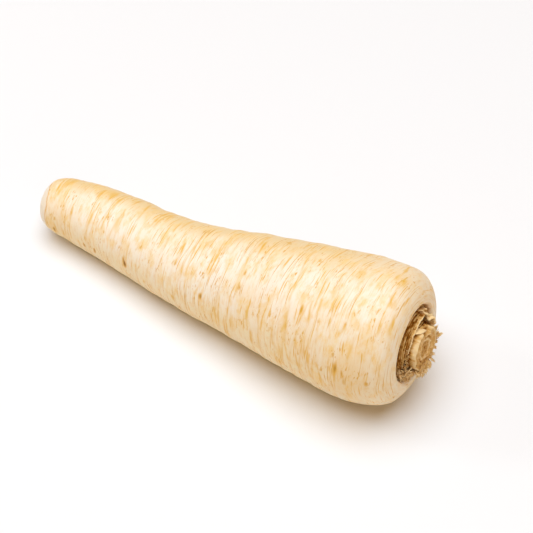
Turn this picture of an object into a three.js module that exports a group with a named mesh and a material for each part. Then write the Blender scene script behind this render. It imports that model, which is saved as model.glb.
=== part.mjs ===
// Parsley root, lying on its side: one swollen root whose thin end is cut off and whose crown is sunk
// into a pit. The pit holds the cut stump of the leaf stalks and the dry remains of six older leaf
// bases. Millimetres, +Z up, resting on z = 0, long axis along X with the crown at +X.
import * as THREE from 'three';

// The root, from the edge of its cut (0) to the widest ring:
// [along, radius, sideways, height of the centre line]
const STATIONS = [
  [0, 9.8, 2.8, -2.2],
  [2.5, 11.5, 3.3, -2.3],
  [6, 12.7, 3.9, -2.5],
  [12, 13.7, 4.4, -2.9],
  [23, 14.9, 4.8, -3.3],
  [43, 16.5, 3.8, -3.9],
  [63, 17.6, 1.5, -4.4],
  [86, 19.6, 0.3, -4.1],
  [109, 22.6, 0.7, -2.9],
  [137, 26.5, -0.4, -0.7],
  [163.5, 29.6, 0, 0],
];
const ROOT_TILT = 4.3; // degrees by which the centre line climbs towards the crown
const FLAT_DEPTH = 0.6; // how much of the underside is pressed flat where it rests

// The cut at the thin end: a low dome of bare flesh, turned a little to the front
const CUT_DOME = 3.6;
const CUT_SLANT = 11; // degrees the cut is turned towards -Y
const CUT_LEAN = 4; // degrees the cut looks up
const CUT_FADE = 30; // length over which the slant dies away into the root

// The shoulder: a rounded end from the widest ring to its crest, then in and down to the lip of the pit
const SHOULDER_LENGTH = 25.9;
const SHOULDER_ROUND = 3.19; // a higher number makes the shoulder squarer
const SHOULDER_FALL = 5.29;
const LIP_RADIUS = 16.3;
const LIP_DROP = 1; // how far the lip lies below the crest
const PIT_RISE = 2; // the pit sits this much above the middle of the crown
const CROWN_LEAN = 1; // degrees the crown looks up from the centre line
const PIT_TURN = 3; // degrees the mouth of the pit is turned towards +Y

// The pit: [depth under the lip, radius]
const PIT_WALL = [[0.5, 15.7], [3.5, 15.2], [8, 14.8], [11, 14.4], [11.6, 14]];
const PIT_DEPTH = 11.6;

// The stump of the leaf stalks in the pit
const STUMP_RADIUS = 9.1;
const STUMP_FOOT_RADIUS = 8.4;
const STUMP_ABOVE_LIP = 5.3;
const STUMP_CUT_SLANT = 1; // degrees its cut face is turned towards -Y
const STUMP_DISH = 0.8; // how far its pith has sunk below the rim of the cut

// The leaf bases: curved scales standing round the stump
const SCALE_THICKNESS = 1.3;
const GAP = 0.3; // air left between neighbouring pieces
const SCALES = [ // [middle angle, spread in degrees, inner radius, top above the lip]
  [70, 104, 10.3, 2.0],
  [190, 104, 10.3, 2.8],
  [310, 108, 10.3, 5.8],
  [130, 100, 12.1, 0.2],
  [250, 100, 12.1, 1.0],
  [10, 100, 12.1, -0.8],
];

const AROUND = 32;
const RAD = Math.PI / 180;

// Smooth value of one column of a table of stations, read at a length along it
function along(table, column, at) {
  let i = 0;
  while (i < table.length - 2 && at > table[i + 1][0]) i += 1;
  const slope = (k) => {
    const a = table[Math.max(k - 1, 0)];
    const b = table[Math.min(k + 1, table.length - 1)];
    return (b[column] - a[column]) / (b[0] - a[0]);
  };
  const span = table[i + 1][0] - table[i][0];
  const t = (at - table[i][0]) / span;
  const [p, q] = [table[i][column], table[i + 1][column]];
  return (2 * t ** 3 - 3 * t ** 2 + 1) * p + (t ** 3 - 2 * t ** 2 + t) * span * slope(i)
    + (3 * t ** 2 - 2 * t ** 3) * q + (t ** 3 - t ** 2) * span * slope(i + 1);
}

// A closed body from rings of points, each end shut by a fan to its own middle point
function bodyFromRings(rings, firstMiddle, lastMiddle) {
  const count = rings[0].length;
  const points = [firstMiddle, ...rings.flat(), lastMiddle];
  const faces = [];
  for (let k = 0; k < count; k += 1) {
    const n = (k + 1) % count;
    faces.push(0, 1 + n, 1 + k);
    for (let r = 0; r < rings.length - 1; r += 1) {
      const [a, b] = [1 + r * count, 1 + (r + 1) * count];
      faces.push(a + k, a + n, b + n, a + k, b + n, b + k);
    }
    const last = 1 + (rings.length - 1) * count;
    faces.push(last + k, last + n, points.length - 1);
  }
  const geometry = new THREE.BufferGeometry();
  geometry.setAttribute('position', new THREE.Float32BufferAttribute(points.flat(), 3));
  geometry.setIndex(faces);
  return geometry;
}

const WIDEST = STATIONS[STATIONS.length - 1][0];
const WIDEST_RADIUS = STATIONS[STATIONS.length - 1][1];
const shoulderAt = (radius) => WIDEST + SHOULDER_LENGTH
  * (1 - (radius / WIDEST_RADIUS) ** SHOULDER_FALL) ** (1 / SHOULDER_ROUND);
const LIP = WIDEST + SHOULDER_LENGTH - LIP_DROP;

// A point of the crown, which sits a little high and is turned. The share eases that in, from 0 to 1.
function crownPoint(at, y, z, share = 1) {
  const lean = share * Math.tan(CROWN_LEAN * RAD) * z;
  const turn = share ** 4 * Math.tan(PIT_TURN * RAD) * y;
  return [at - lean - turn, y, share * PIT_RISE + z];
}

function circle(radius, count) {
  return Array.from({ length: count }, (_, k) => {
    const turn = (k / count) * 2 * Math.PI;
    return [radius * Math.cos(turn), radius * Math.sin(turn)];
  });
}

// One ring of the root up to the lip, square to its centre line. The slant of the cut fades along it.
function rootRing(at, radius) {
  const reach = Math.min(Math.max(at, 0), WIDEST);
  const [sideways, height] = [along(STATIONS, 2, reach), along(STATIONS, 3, reach)];
  const fade = Math.min(1 - at / CUT_FADE, 1);
  const slant = Math.max(fade, 0) ** 2;
  const climb = Math.min(Math.max((at - WIDEST) / (LIP - WIDEST), 0), 1);
  return circle(radius, AROUND).map(([y, z]) => {
    const turned = Math.tan(CUT_LEAN * RAD) * z - Math.tan(CUT_SLANT * RAD) * y;
    const [px, py, pz] = crownPoint(at, y, z, climb ** 2 * (3 - 2 * climb));
    return [px + slant * turned, sideways + py, height + pz];
  });
}

const pitRing = (at, radius) => circle(radius, AROUND).map(([y, z]) => crownPoint(at, y, z));

function makeRoot() {
  const rings = [];
  const cutRadius = STATIONS[0][1];
  for (const share of [0.3, 0.55, 0.76, 0.91]) {
    rings.push(rootRing(-CUT_DOME * (1 - share ** 2), cutRadius * share));
  }
  for (const at of [0, 1.5, 3.5, 6.5, 10.5]) rings.push(rootRing(at, along(STATIONS, 1, at)));
  for (let k = 1; k <= 29; k += 1) {
    const at = 10.5 + (k / 29) * (WIDEST - 10.5);
    rings.push(rootRing(at, along(STATIONS, 1, at)));
  }
  for (const radius of [29.5, 29.1, 28.4, 27.2, 25.6, 23.6, 21.2, 19]) {
    rings.push(rootRing(shoulderAt(radius), radius));
  }
  rings.push(rootRing(LIP, LIP_RADIUS));
  for (const [depth, radius] of PIT_WALL) rings.push(pitRing(LIP - depth, radius));
  rings.push(pitRing(LIP - PIT_DEPTH, 6));
  const [, , tipSideways, tipHeight] = STATIONS[0];
  return bodyFromRings(rings, [-CUT_DOME, tipSideways, tipHeight], crownPoint(LIP - PIT_DEPTH, 0, 0));
}

function makeStump() {
  const foot = LIP - PIT_DEPTH + GAP;
  const face = LIP + STUMP_ABOVE_LIP;
  const profile = [ // [along, radius, share of the slant of the cut]
    [foot, STUMP_FOOT_RADIUS * 0.55, 0],
    [foot, STUMP_FOOT_RADIUS, 0],
    [foot + 6, STUMP_FOOT_RADIUS + 0.5, 0.2],
    [face - 5, STUMP_RADIUS, 0.7],
    [face - 0.6, STUMP_RADIUS, 1],
    [face, STUMP_RADIUS - 0.6, 1],
    [face - 0.3, STUMP_RADIUS * 0.72, 1],
    [face - STUMP_DISH, STUMP_RADIUS * 0.4, 1],
  ];
  const rings = profile.map(([at, radius, share]) => circle(radius, 28).map(([y, z]) => {
    const turn = Math.atan2(z, y);
    const uneven = 1 + 0.02 * Math.cos(2 * turn + 0.6) + 0.015 * Math.cos(3 * turn);
    return crownPoint(at + share * Math.tan(STUMP_CUT_SLANT * RAD) * y, uneven * y, uneven * z);
  }));
  return bodyFromRings(rings, crownPoint(foot, 0, 0), crownPoint(face - STUMP_DISH, 0, 0));
}

// A scale is swept round the axis as a thin section whose top rises to the middle of its spread
function makeScale([middle, spread, innerRadius, top]) {
  const steps = 12;
  const foot = LIP - PIT_DEPTH + GAP;
  const rings = Array.from({ length: steps + 1 }, (_, k) => {
    const share = (k / steps) * 2 - 1;
    const turn = (middle + share * spread / 2) * RAD;
    const crest = LIP + top - 3.2 * share ** 2;
    const thick = SCALE_THICKNESS * (1 - 0.45 * share ** 2);
    const section = [
      [foot, 0], [(foot + crest) / 2, 0], [crest - 0.4, 0.1], [crest, thick * 0.45],
      [crest - 0.4, thick * 0.8], [(foot + crest) / 2, thick + 0.1], [foot, thick],
    ];
    return section.map(([x, out]) => {
      const radius = innerRadius + out;
      return crownPoint(x, radius * Math.cos(turn), radius * Math.sin(turn));
    });
  });
  const middleOf = (ring) => [0, 1, 2].map((c) => ring.reduce((sum, p) => sum + p[c], 0) / ring.length);
  return bodyFromRings(rings, middleOf(rings[0]), middleOf(rings[steps]));
}

function material(name, colour) {
  const made = new THREE.MeshStandardMaterial({ color: colour, roughness: 0.7 });
  made.name = name;
  return made;
}

function build() {
  const pieces = [
    ['root', makeRoot(), material('skin', '#ecd2a2')],
    ['stalk_stump', makeStump(), material('stalk', '#c39a62')],
    ...SCALES.map((scale, k) => [
      `leaf_base_${k + 1}`, makeScale(scale), material(`dry_leaf_${k + 1}`, '#9a6a34'),
    ]),
  ];

  // Tip the axis up, press the underside flat, and stand the whole on z = 0, centred over the origin
  const tilt = new THREE.Matrix4().makeRotationY(-ROOT_TILT * RAD);
  for (const [, geometry] of pieces) geometry.applyMatrix4(tilt);
  const root = pieces[0][1];
  root.computeBoundingBox();
  const floor = root.boundingBox.min.z + FLAT_DEPTH;
  const heights = root.getAttribute('position');
  for (let k = 0; k < heights.count; k += 1) heights.setZ(k, Math.max(heights.getZ(k), floor));

  const box = new THREE.Box3();
  for (const [, geometry] of pieces) {
    geometry.computeBoundingBox();
    box.union(geometry.boundingBox);
  }
  const group = new THREE.Group();
  for (const [name, geometry, skin] of pieces) {
    geometry.translate(-(box.min.x + box.max.x) / 2, -(box.min.y + box.max.y) / 2, -floor);
    geometry.computeVertexNormals();
    const mesh = new THREE.Mesh(geometry, skin);
    mesh.name = name;
    group.add(mesh);
  }
  return group;
}

export default build();
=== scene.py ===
import math
import bpy
import numpy as np
from mathutils import Matrix, Vector


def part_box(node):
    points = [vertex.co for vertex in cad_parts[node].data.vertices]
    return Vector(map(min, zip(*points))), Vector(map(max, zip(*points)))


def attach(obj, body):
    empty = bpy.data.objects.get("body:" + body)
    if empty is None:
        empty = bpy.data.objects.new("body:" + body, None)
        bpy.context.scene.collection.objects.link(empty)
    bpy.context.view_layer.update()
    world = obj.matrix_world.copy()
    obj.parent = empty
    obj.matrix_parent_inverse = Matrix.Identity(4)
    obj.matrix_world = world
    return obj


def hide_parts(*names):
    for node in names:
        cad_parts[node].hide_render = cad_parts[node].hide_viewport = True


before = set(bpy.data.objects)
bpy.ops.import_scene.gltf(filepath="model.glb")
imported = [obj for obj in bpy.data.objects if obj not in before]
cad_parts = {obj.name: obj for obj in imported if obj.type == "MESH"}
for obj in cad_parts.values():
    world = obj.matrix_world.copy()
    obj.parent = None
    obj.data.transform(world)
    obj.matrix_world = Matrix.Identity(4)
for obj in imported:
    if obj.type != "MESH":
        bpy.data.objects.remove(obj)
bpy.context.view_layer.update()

# ---------------------------------------------------------------- the root
# One grown root lying on its side: firm white flesh under a thin, washed, cream-coloured skin.
# Its thin end was cut straight through with a knife. At its crown the leaf stalks were cut off,
# and what is left of them stands in a deep round pit.
MM = 0.001
STATIONS = np.array([  # along the root, radius, sideways and height of the centre line, in mm
    [0, 9.8, 2.8, -2.2], [2.5, 11.5, 3.3, -2.3], [6, 12.7, 3.9, -2.5], [12, 13.7, 4.4, -2.9],
    [23, 14.9, 4.8, -3.3], [43, 16.5, 3.8, -3.9], [63, 17.6, 1.5, -4.4], [86, 19.6, 0.3, -4.1],
    [109, 22.6, 0.7, -2.9], [137, 26.5, -0.4, -0.7], [163.5, 29.6, 0, 0]])
ROOT_TILT = math.radians(4.3)
CUT_RADIUS = 9.8
CUT_DOME = 3.6
CUT_SLANT = math.radians(11)
CUT_LEAN = math.radians(4)
CUT_FADE = 30
WIDEST = 163.5
WIDEST_RADIUS = 29.6
SHOULDER_LENGTH = 25.9
SHOULDER_ROUND = 3.19
SHOULDER_FALL = 5.29
SHOULDER_TOP_RADIUS = 17.6
LIP = WIDEST + SHOULDER_LENGTH - 1
CROWN_LEAN = math.radians(1)
PIT_RISE = 2
PIT_TURN = math.radians(3)
PIT_DEPTH = 11.6
PIT_FLOOR_RADIUS = 3
LIP_EDGE = [[0.75, 17.4], [0.6, 17.0], [0.25, 16.5], [-0.3, 16.05], [-1.0, 15.75]]  # above the lip, radius
PIT_WALL = [[-3.5, 15.2], [-8, 14.8], [-11, 14.4], [-PIT_DEPTH, 14]]
AROUND = 190
SKIN_RINGS = 436
CUT_RINGS = 12
WALL_RINGS = 26
RANDOM_CREASES = 260


def centre_line(column, at):
    """A value from the stations, at places along the root, on a smooth curve through them."""
    where, value = STATIONS[:, 0], STATIONS[:, column]
    last = len(where) - 1
    before = np.maximum(np.arange(last + 1) - 1, 0)
    after = np.minimum(np.arange(last + 1) + 1, last)
    slope = (value[after] - value[before]) / (where[after] - where[before])
    at = np.clip(at, 0, WIDEST)
    k = np.clip(np.searchsorted(where, at, side="right") - 1, 0, last - 1)
    span = where[k + 1] - where[k]
    t = (at - where[k]) / span
    rise = value[k + 1] - value[k]
    return (value[k] + t * t * (3 - 2 * t) * rise
            + span * t * (1 - t) * ((1 - t) * slope[k] - t * slope[k + 1]))


def crown_point(at, y, z, share=1.0):
    """A point measured from the axis of the pit, which leans a little and turns to one side."""
    return (at - share * math.tan(CROWN_LEAN) * z - share ** 4 * math.tan(PIT_TURN) * y,
            y, share * PIT_RISE + z)


def root_point(at, radius, turn):
    """A point of the root's outside, from its place along the root, its radius and its turn."""
    slant = np.clip(1 - at / CUT_FADE, 0, 1) ** 2
    climb = np.clip((at - WIDEST) / (LIP - WIDEST), 0, 1)
    y, z = radius * np.cos(turn), radius * np.sin(turn)
    turned = math.tan(CUT_LEAN) * z - math.tan(CUT_SLANT) * y
    px, py, pz = crown_point(at, y, z, climb ** 2 * (3 - 2 * climb))
    return np.stack([px + slant * turned, centre_line(2, at) + py, centre_line(3, at) + pz], -1)


def tilted(points):
    """Points turned so that the root lies down on its side."""
    x, y, z = np.moveaxis(points, -1, 0)
    c, s = math.cos(ROOT_TILT), math.sin(ROOT_TILT)
    return np.stack([c * x - s * z, y, s * x + c * z], -1)


def evenly(outline, count):
    """An outline drawn again with evenly spaced points."""
    steps = np.linalg.norm(np.diff(outline, axis=0), axis=1)
    reach = np.concatenate([[0], np.cumsum(steps)])
    places = np.linspace(0, reach[-1], count)
    return np.stack([np.interp(places, reach, outline[:, k]) for k in (0, 1)], -1)


def smooth_step(low, high, value):
    t = np.clip((value - low) / (high - low), 0, 1)
    return t * t * (3 - 2 * t)


def drift(place, around, along, seed, waves=48):
    """A smooth random height of about -1 to 1, whose features are so many mm around and along."""
    draw = np.random.default_rng(seed)
    radians_a_feature = 2.2
    pull = draw.normal(size=(waves, 3)) * radians_a_feature / np.array([around, around, along])
    phase = draw.uniform(0, 2 * math.pi, waves)
    return np.sin(place @ pull.T + phase).sum(-1) / math.sqrt(waves)


share = np.linspace(0, 1, 60)
cut_outline = evenly(np.stack([-CUT_DOME * (1 - share ** 2), CUT_RADIUS * share], -1), CUT_RINGS)
body = np.linspace(0, WIDEST, 1200)
falling = np.linspace(WIDEST_RADIUS, SHOULDER_TOP_RADIUS, 400)
shoulder = WIDEST + SHOULDER_LENGTH * (1 - (falling / WIDEST_RADIUS) ** SHOULDER_FALL) ** (1 / SHOULDER_ROUND)
skin_outline = evenly(np.concatenate([
    np.stack([body, centre_line(1, body)], -1),
    np.stack([shoulder, falling], -1)[1:],
    np.array(LIP_EDGE) + [LIP, 0]]), SKIN_RINGS)
wall_outline = evenly(np.concatenate([
    skin_outline[-1:], np.array(PIT_WALL) + [LIP, 0], [[LIP - PIT_DEPTH, PIT_FLOOR_RADIUS]]]), WALL_RINGS)
outline = np.concatenate([cut_outline[1:], skin_outline[1:], wall_outline[1:]])
turns = np.linspace(0, 2 * math.pi, AROUND, endpoint=False)
at, turn = np.meshgrid(outline[:, 0], turns, indexing="ij")
radius = np.repeat(outline[:, 1:], AROUND, axis=1)
ring_at = np.concatenate([[0], np.cumsum(np.linalg.norm(np.diff(outline, axis=0), axis=1))])
run = np.repeat(ring_at[:, None], AROUND, axis=1)
place = np.stack([radius * np.cos(turn), radius * np.sin(turn), run], -1)

smooth = root_point(at, radius, turn)
across = np.roll(smooth, -1, axis=1) - np.roll(smooth, 1, axis=1)
ahead = np.gradient(smooth, axis=0)
outwards = np.cross(across, ahead)
outwards /= np.linalg.norm(outwards, axis=-1, keepdims=True) + 1e-9

# How the skin is shaped: low lumps, ring-like swells, and many shallow creases that run around.
on_skin = smooth_step(0, 3, at) * smooth_step(LIP + 1, LIP - 1, at)
relief = on_skin * (0.30 * drift(place, 22, 30, 11) + 0.12 * drift(place, 26, 5, 12)
                    + 0.05 * drift(place, 9, 2.2, 13))
crease = np.zeros_like(run)
stain = np.zeros_like(run)
patch = np.zeros_like(run)
first_skin = CUT_RINGS - 1
last_skin = CUT_RINGS + SKIN_RINGS - 3


def reach_from(facing):
    """How far round the surface each place is from one turn, in mm, to either side."""
    return ((turn - facing + math.pi) % (2 * math.pi) - math.pi) * radius


def press_crease(middle, facing, length, width, depth, slant, bend, colour):
    """Presses one crease into the skin: a narrow groove along a ring, with a raised side."""
    reach = reach_from(facing)
    near = np.abs(reach) < length / 2
    taper = np.where(near, np.cos(math.pi * reach / length), 0) ** 0.6
    line = middle + slant * reach + bend * np.sin(reach / length * 5)
    off = (run - line) / width
    groove = np.exp(-off ** 2) * taper
    ridge = np.exp(-(off - 1.7) ** 2 / 1.4) * taper
    relief[...] += on_skin * depth * (0.45 * ridge - groove)
    crease[...] = np.maximum(crease, groove * colour)


def run_at(along):
    """The distance over the surface of a ring, from its place along the root."""
    return np.interp(along, outline[:first_skin + SKIN_RINGS, 0], ring_at[:first_skin + SKIN_RINGS])


def off_spot(along, facing, length, width):
    """How far off a spot each place is, in half its length around and half its width along the root."""
    return np.hypot(2 * reach_from(math.radians(facing)) / length, 2 * (run - run_at(along)) / width)


def brown_spot(along, facing, length, width, strength, seed):
    """A scab or old rootlet scar with a ragged edge."""
    off = off_spot(along, facing, length, width)
    spot = strength * np.exp(-(off * (1 + 0.25 * drift(place, 2.5, 1.2, seed, 24))) ** 2)
    stain[...] = np.maximum(stain, spot)
    relief[...] += on_skin * 0.12 * (np.exp(-(off - 1.2) ** 2 * 2) - 1.2 * spot)


draw = np.random.default_rng(5)
skin_start, skin_end = ring_at[first_skin], ring_at[last_skin]
for _ in range(RANDOM_CREASES):
    press_crease(draw.uniform(skin_start + 3, skin_end - 6), draw.uniform(0, 2 * math.pi),
                 draw.uniform(5, 24), draw.uniform(0.3, 0.6), draw.uniform(0.01, 0.055),
                 draw.normal(0, 0.07), draw.uniform(-0.8, 0.8), 0.1 + 0.85 * draw.uniform() ** 1.8)
# The plainest creases: place along, from one turn to another, width, depth, how coloured.
for along, low, high, width, depth, colour in (
        (101.2, 90, 120, 0.5, 0.08, 0.8), (103.4, 97, 112, 0.4, 0.05, 0.6),
        (154, 126, 144, 0.5, 0.08, 1.0), (157.5, 121, 136, 0.5, 0.06, 0.8),
        (186, 112, 133, 0.5, 0.05, 0.7), (182.4, 98, 111, 0.5, 0.05, 0.8), (88, 128, 150, 0.4, 0.05, 0.6),
        (74, 100, 118, 0.4, 0.05, 0.6), (126, 150, 176, 0.5, 0.08, 0.7), (132, 148, 190, 0.5, 0.08, 0.6)):
    middle = math.radians((low + high) / 2)
    reach_here = math.radians(high - low) * float(np.interp(along, skin_outline[:, 0], skin_outline[:, 1]))
    press_crease(run_at(along), middle, reach_here, width, depth, 0.03, 0.4, colour)
for along in np.arange(141, 163, 2.1):  # a close row of them low on the broad end
    press_crease(run_at(along), math.radians(draw.uniform(170, 186)), draw.uniform(18, 30), 0.5,
                 draw.uniform(0.10, 0.2), draw.uniform(0.02, 0.10), draw.uniform(-1.2, 1.2),
                 draw.uniform(0.4, 0.9))
# Scabs and old rootlet scars: place along, turn, length around, width along, strength.
for spot in ((55.8, 174, 4.2, 1.9, 1.0), (54.6, 167, 3.0, 1.0, 0.4), (10.3, 188, 3.0, 1.8, 0.8),
             (30.3, 185, 2.4, 1.4, 0.7), (36.5, 185, 3.4, 1.4, 0.7), (100.3, 162, 3.4, 1.7, 0.75),
             (118.8, 122, 2.6, 1.3, 0.5), (118.8, 137, 2.2, 1.4, 0.5), (150.1, 136, 4.4, 1.2, 0.6),
             (170.4, 135, 3.2, 1.6, 0.4), (188.4, 137, 2.2, 1.4, 0.7), (170.2, 171, 4.6, 1.5, 0.7),
             (173.0, 174, 4.0, 1.1, 0.55), (182.1, 181, 2.2, 1.6, 0.5), (83, 250, 3.6, 1.8, 0.9),
             (40, 300, 3.0, 1.6, 0.8), (120, 20, 3.6, 1.8, 0.8), (146, 330, 2.8, 1.6, 0.7),
             (66, 40, 3.2, 1.4, 0.7), (104, 280, 2.6, 1.4, 0.6), (160, 60, 3.0, 1.6, 0.5)):
    brown_spot(*spot, seed=int(spot[0] * 10))

# Soft orange patches and streaks in the skin: place along, turn, length around, width along, strength.
for along, facing, length, width, strength in (
        (170.6, 172, 8, 5, 0.5), (182.8, 131, 7, 1.4, 0.6), (185.8, 125, 9, 1.2, 0.5),
        (170.4, 137, 4, 1.4, 0.6), (187.7, 136, 2.5, 2, 0.5), (150.4, 136, 5, 1.6, 0.7),
        (157.2, 131, 7, 1.0, 0.6), (157.7, 150, 16, 0.8, 0.5), (165.9, 94, 8, 4, 0.45),
        (160.7, 115, 9, 2.4, 0.4), (179, 80, 6, 3, 0.5), (182.1, 80, 5, 3, 0.55), (186.9, 69, 5, 4, 0.5),
        (91.4, 157, 5, 1, 0.6), (99.8, 108, 6, 2, 0.5), (102, 103, 12, 0.8, 0.5), (93.8, 99, 5, 1.6, 0.5),
        (131.1, 150, 8, 1.2, 0.5), (125.3, 158, 6, 0.9, 0.6), (143.4, 107, 14, 0.7, 0.6),
        (155.1, 123, 14, 0.7, 0.6), (162.2, 124, 12, 0.7, 0.6), (144.3, 150, 16, 3, 0.45),
        (40, 130, 8, 1.2, 0.6), (47, 121, 9, 3, 0.5), (12, 76, 6, 2.5, 0.6), (14, 160, 26, 20, 0.2),
        (176, 176, 34, 18, 0.28), (130, 152, 12, 22, 0.12), (69, 101, 12, 20, 0.06),
        (154, 153, 16, 16, 0.15), (15, 92, 20, 20, 0.12), (9.7, 111, 4, 1.6, 0.6), (10.1, 91, 8, 5, 0.5),
        (34.9, 77, 12, 3, 0.6), (67.1, 185, 2.2, 1.2, 0.8), (84.3, 181, 2, 1.4, 0.8)):
    off = off_spot(along, facing, length, width)
    torn = 1 + 0.35 * drift(place, 3.5, 1.4, int(along * 10), 24)
    patch[...] = np.maximum(patch, strength * 1.3 * np.exp(-(off * torn) ** 2))

# Broad paler areas of the skin, painted sheen on the lit middle of the root: place along, turn, length
# around, width along, strength.
painted_sheen_patches = np.zeros_like(run)
for along, facing, length, width, strength in (
        (100, 130, 20, 30, 0.8), (174, 126, 26, 22, 0.8), (150, 130, 12, 20, 0.4), (38, 121, 12, 24, 0.5),
        (146, 112, 10, 20, 0.3), (95, 112, 8, 16, 0.3)):
    off = off_spot(along, facing, length, width)
    torn = 1 + 0.3 * drift(place, 9, 6, int(along), 24)
    painted_sheen_patches[...] = np.maximum(painted_sheen_patches, strength * np.exp(-(off * torn) ** 2))

# Wrinkles in the skin that rolls over the lip of the pit.
for back_from_lip, depth in ((1.6, 0.10), (2.9, 0.08), (4.4, 0.10), (6.2, 0.07)):
    press_crease(skin_end - back_from_lip, math.radians(62), draw.uniform(22, 34), 0.5, depth, 0.02, 0.5, 0.5)
crease *= np.clip(0.8 + 0.5 * drift(place, 3, 5, 31), 0.15, 1.3)

# Where the knife took the skin off beside the cut: how far up the root it is bare, by turn.
BARE_TO = [[0, 0.3], [60, 0.6], [85, 1.1], [117, 3.1], [139, 4.2], [160, 4.4], [185, 4.1], [215, 3.2],
           [245, 1.8], [275, 0.8], [360, 0.3]]
bare_edge = np.interp(np.degrees(turn), *np.transpose(BARE_TO)) + 0.25 * drift(place, 3, 3, 21)
bare = smooth_step(0.2, -0.2, at - bare_edge)
skin_edge = np.exp(-((at - bare_edge - 0.4) / 0.5) ** 2)
dry_lip = smooth_step(skin_end - 1.3, skin_end - 0.1, run + 0.3 * drift(place, 2, 4, 61))
relief -= 0.22 * bare * smooth_step(-1, 1, at)

points = tilted(smooth + outwards * relief[..., None])
plain = tilted(smooth)
root_low, root_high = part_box("root")
shift = np.array([
    root_low.x / MM - plain[..., 0].min(),
    (root_low.y + root_high.y) / 2 / MM - (plain[..., 1].min() + plain[..., 1].max()) / 2,
    root_high.z / MM - plain[..., 2].max()])
points = points + shift
points[..., 2] = np.maximum(points[..., 2], 0)


def put_in_scene(name, data):
    """A new object at the origin, made of a mesh, a light or a camera."""
    made = bpy.data.objects.new(name, data)
    bpy.context.scene.collection.objects.link(made)
    return made


def corners(columns, rows):
    """The place of each face's corners on the unrolled surface, from their columns and rows."""
    grids = np.broadcast_arrays(*columns, *rows)
    pair = [np.stack(part, -1) for part in (grids[:len(columns)], grids[len(columns):])]
    return np.stack(pair, -1).reshape(-1, 2)


def closed_rings(name, rings, first_pole, last_pole):
    """A mesh object from rings of points in mm, closed by a point at either end, faces outwards."""
    count, around = rings.shape[:2]
    vertices = np.concatenate([rings.reshape(-1, 3), [first_pole], [last_pole]]) * MM
    i, j = np.meshgrid(np.arange(count - 1), np.arange(around), indexing="ij")
    k = (j + 1) % around
    quads = np.stack([i * around + j, i * around + k, (i + 1) * around + k, (i + 1) * around + j], -1)
    faces = quads.reshape(-1, 4).tolist()
    low, high = count * around, count * around + 1
    last = (count - 1) * around
    faces += [[low, (n + 1) % around, n] for n in range(around)]
    faces += [[high, last + n, last + (n + 1) % around] for n in range(around)]
    mesh = bpy.data.meshes.new(name)
    mesh.from_pydata(vertices.tolist(), [], faces)
    mesh.shade_smooth()
    n = np.arange(around)
    flat = np.concatenate([
        corners((j, j + 1, j + 1, j), (i, i, i + 1, i + 1)),
        corners((n + 0.5, n + 1, n), (-1, 0, 0)),
        corners((n + 0.5, n, n + 1), (count, count - 1, count - 1))])
    unrolled = mesh.uv_layers.new(name="OFBake")
    unrolled.data.foreach_set("uv", ((flat + [0, 1]) / [around, count + 1]).ravel())
    return put_in_scene(name, mesh)


def note(made, name, values, kind="FLOAT"):
    """Keeps one number, or one vector, for each vertex of a mesh, for its material to read."""
    kept = made.data.attributes.new(name, kind, "POINT")
    kept.data.foreach_set("vector" if kind == "FLOAT_VECTOR" else "value",
                          np.asarray(values, np.float32).ravel())


tip, pit_floor = tilted(root_point(np.array([-CUT_DOME, LIP - PIT_DEPTH]), np.zeros(2), np.zeros(2))) + shift
root = closed_rings("parsley_root", points, tip, pit_floor)


def with_poles(values, first, last):
    return np.concatenate([values.reshape(-1, *values.shape[2:]), [first], [last]])


note(root, "place", with_poles(place, [0, 0, -CUT_RADIUS], [0, 0, ring_at[-1]]), "FLOAT_VECTOR")
for name, values, at_tip in (
        ("crease", crease, 0), ("stain", stain, 0), ("patch", patch, 0), ("painted_sheen_patches", painted_sheen_patches, 0),
        ("bare", bare, 1), ("skin_edge", skin_edge, 0), ("dry_lip", dry_lip, 0)):
    note(root, name, with_poles(values, at_tip, 0))


def linear(code):
    """An sRGB colour written as hex, as the linear colour that a shader takes."""
    parts = [int(code[k:k + 2], 16) / 255 for k in (1, 3, 5)]
    return tuple(c / 12.92 if c <= 0.04045 else ((c + 0.055) / 1.055) ** 2.4 for c in parts) + (1.0,)


def add(owner, kind, inputs=None, **settings):
    """Adds a node to a material, a world or a node group, and fills its inputs with values or links."""
    tree = getattr(owner, "node_tree", owner)
    node = tree.nodes.new(kind)
    for name, value in settings.items():
        setattr(node, name, value)
    for key, value in (inputs or {}).items():
        if isinstance(value, bpy.types.NodeSocket):
            tree.links.new(value, node.inputs[key])
        else:
            node.inputs[key].default_value = value
    return node


def new_material(name):
    """A material with no nodes in it yet."""
    material = bpy.data.materials.new(name)
    material.use_nodes = True
    material.node_tree.nodes.clear()
    return material


def finish_material(material, **inputs):
    """Ends a material in one Principled surface."""
    surface = add(material, "ShaderNodeBsdfPrincipled",
                  {name.replace("_", " "): value for name, value in inputs.items()})
    add(material, "ShaderNodeOutputMaterial", {"Surface": surface.outputs[0]})


def stretched_noise(material, place, around, along, detail=2.0, roughness=0.55, shift=0.0):
    """Noise with features so many mm around the root and along it."""
    scaled = add(material, "ShaderNodeVectorMath",
                 {0: place, 1: (1 / around, 1 / around, 1 / along), 2: (shift, shift * 1.7, shift * 0.6)},
                 operation="MULTIPLY_ADD")
    noise = add(material, "ShaderNodeTexNoise",
                {"Vector": scaled.outputs[0], "Scale": 1.0, "Detail": detail, "Roughness": roughness})
    return noise.outputs["Fac"]


def patches(material, value, low, high, within=1.0):
    """Patches with soft edges: none where the value is below `low`, full above `high`, times `within`."""
    soft = add(material, "ShaderNodeMapRange", {"Value": value, "From Min": low, "From Max": high},
               interpolation_type="SMOOTHSTEP")
    return add(material, "ShaderNodeMath", {0: soft.outputs[0], 1: within}, operation="MULTIPLY").outputs[0]


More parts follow.
